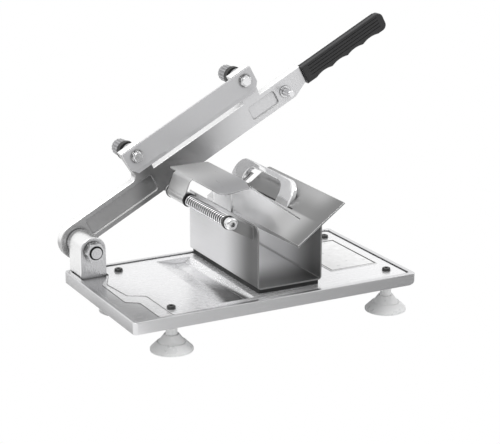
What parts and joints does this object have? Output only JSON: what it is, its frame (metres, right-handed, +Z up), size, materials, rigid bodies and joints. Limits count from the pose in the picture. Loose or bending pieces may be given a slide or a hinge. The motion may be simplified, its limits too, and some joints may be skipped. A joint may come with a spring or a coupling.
{
  "type": "frozen meat slicer",
  "caption": "Hand slicer for frozen meat: hinged arm with an adjustable blade, an open trough with a spring fed press, and a tray base on suction feet.",
  "frame": {"origin": "on the table, under the middle of the base tray", "axes": "+X along the base from the hinge side to the handle side, +Y back to the blade, +Z up"},
  "size_m": [0.4094, 0.2727, 0.2942],
  "materials": {
    "pan_steel": "satin",
    "panel_steel": "polished",
    "label": "satin",
    "cup": "satin",
    "dark_screw": "satin",
    "bracket_steel": "satin",
    "fastener": "polished",
    "pad_rubber": "matte",
    "trough_steel": "polished",
    "rod_steel": "polished",
    "black_rubber": "satin",
    "spring_wire": "polished",
    "arm_steel": "satin",
    "black_nylon": "satin",
    "grip_black": "satin",
    "blade_steel": "ground",
    "knob_metal": "satin",
    "press_steel": "polished",
    "handle_chrome": "polished"
  },
  "bodies": {
    "root": {"base_pan": "pan_steel", "top_panel": "panel_steel", "label_plate": "label", "foot_front_left": "cup", "foot_front_right": "cup", "foot_back_left": "cup", "foot_back_right": "cup", "foot_screws": "dark_screw", "hinge_bracket": "bracket_steel", "bracket_screws": "fastener", "pivot_bolt": "fastener", "pivot_spacer": "bracket_steel", "pivot_washer": "fastener", "pivot_nut": "fastener", "trough_pad": "pad_rubber", "trough": "trough_steel", "trough_nuts": "fastener", "guide_rod": "rod_steel", "rod_front_washer": "black_rubber", "rod_front_nut": "fastener", "rod_back_nut": "fastener", "feed_spring": "spring_wire"},
    "arm": {"arm": "arm_steel", "pivot_bush": "black_nylon", "stop_pin": "fastener", "grip_front": "grip_black", "grip_back": "grip_black", "grip_screws": "fastener"},
    "blade": {"blade": "blade_steel", "blade_bolts": "fastener", "blade_lock_nuts": "fastener"},
    "knob_left": {"knob_left": "knob_metal", "knob_left_ring": "black_rubber", "knob_left_clip": "fastener"},
    "knob_right": {"knob_right": "knob_metal", "knob_right_ring": "black_rubber", "knob_right_clip": "fastener"},
    "carriage": {"slide_bush_front": "black_nylon", "slide_bush_back": "black_nylon"},
    "press": {"press_hood": "press_steel", "press_plate": "press_steel", "strap_handle": "handle_chrome", "handle_screws": "fastener"}
  },
  "joints": [
    {"name": "arm_swing", "type": "hinge", "parent": "root", "child": "arm", "pos_m": [-0.1455, 0.106, 0.074], "axis": [0, -1, 0], "range_deg": [-33.4, 50]},
    {"name": "knob_left_turn", "type": "hinge", "parent": "arm", "child": "knob_left", "pos_m": [-0.07636, 0.12, 0.16229], "axis": [0, 1, 0], "range_deg": [-613, 2161]},
    {"name": "knob_right_turn", "type": "hinge", "parent": "arm", "child": "knob_right", "pos_m": [0.05697, 0.12, 0.23319], "axis": [0, 1, 0], "range_deg": [-613, 2161]},
    {"name": "blade_adjust", "type": "slide", "parent": "arm", "child": "blade", "axis": [0, -1, 0], "range_m": [-0.0017, 0.006]},
    {"name": "press_slide", "type": "slide", "parent": "root", "child": "carriage", "axis": [0, -1, 0], "range_m": [0, 0.042], "stiffness_N_per_m": 400, "springref_m": -0.02, "deforming": ["feed_spring"]},
    {"name": "press_lift", "type": "hinge", "parent": "carriage", "child": "press", "pos_m": [-0.0456, 0.05, 0.1253], "axis": [0, -1, 0], "range_deg": [-22, 70]}
  ],
  "couplings": [
    {"joint": "knob_left_turn", "follows": "blade_adjust", "rad_per_m": 6283.2},
    {"joint": "knob_right_turn", "follows": "blade_adjust", "rad_per_m": 6283.2}
  ]
}
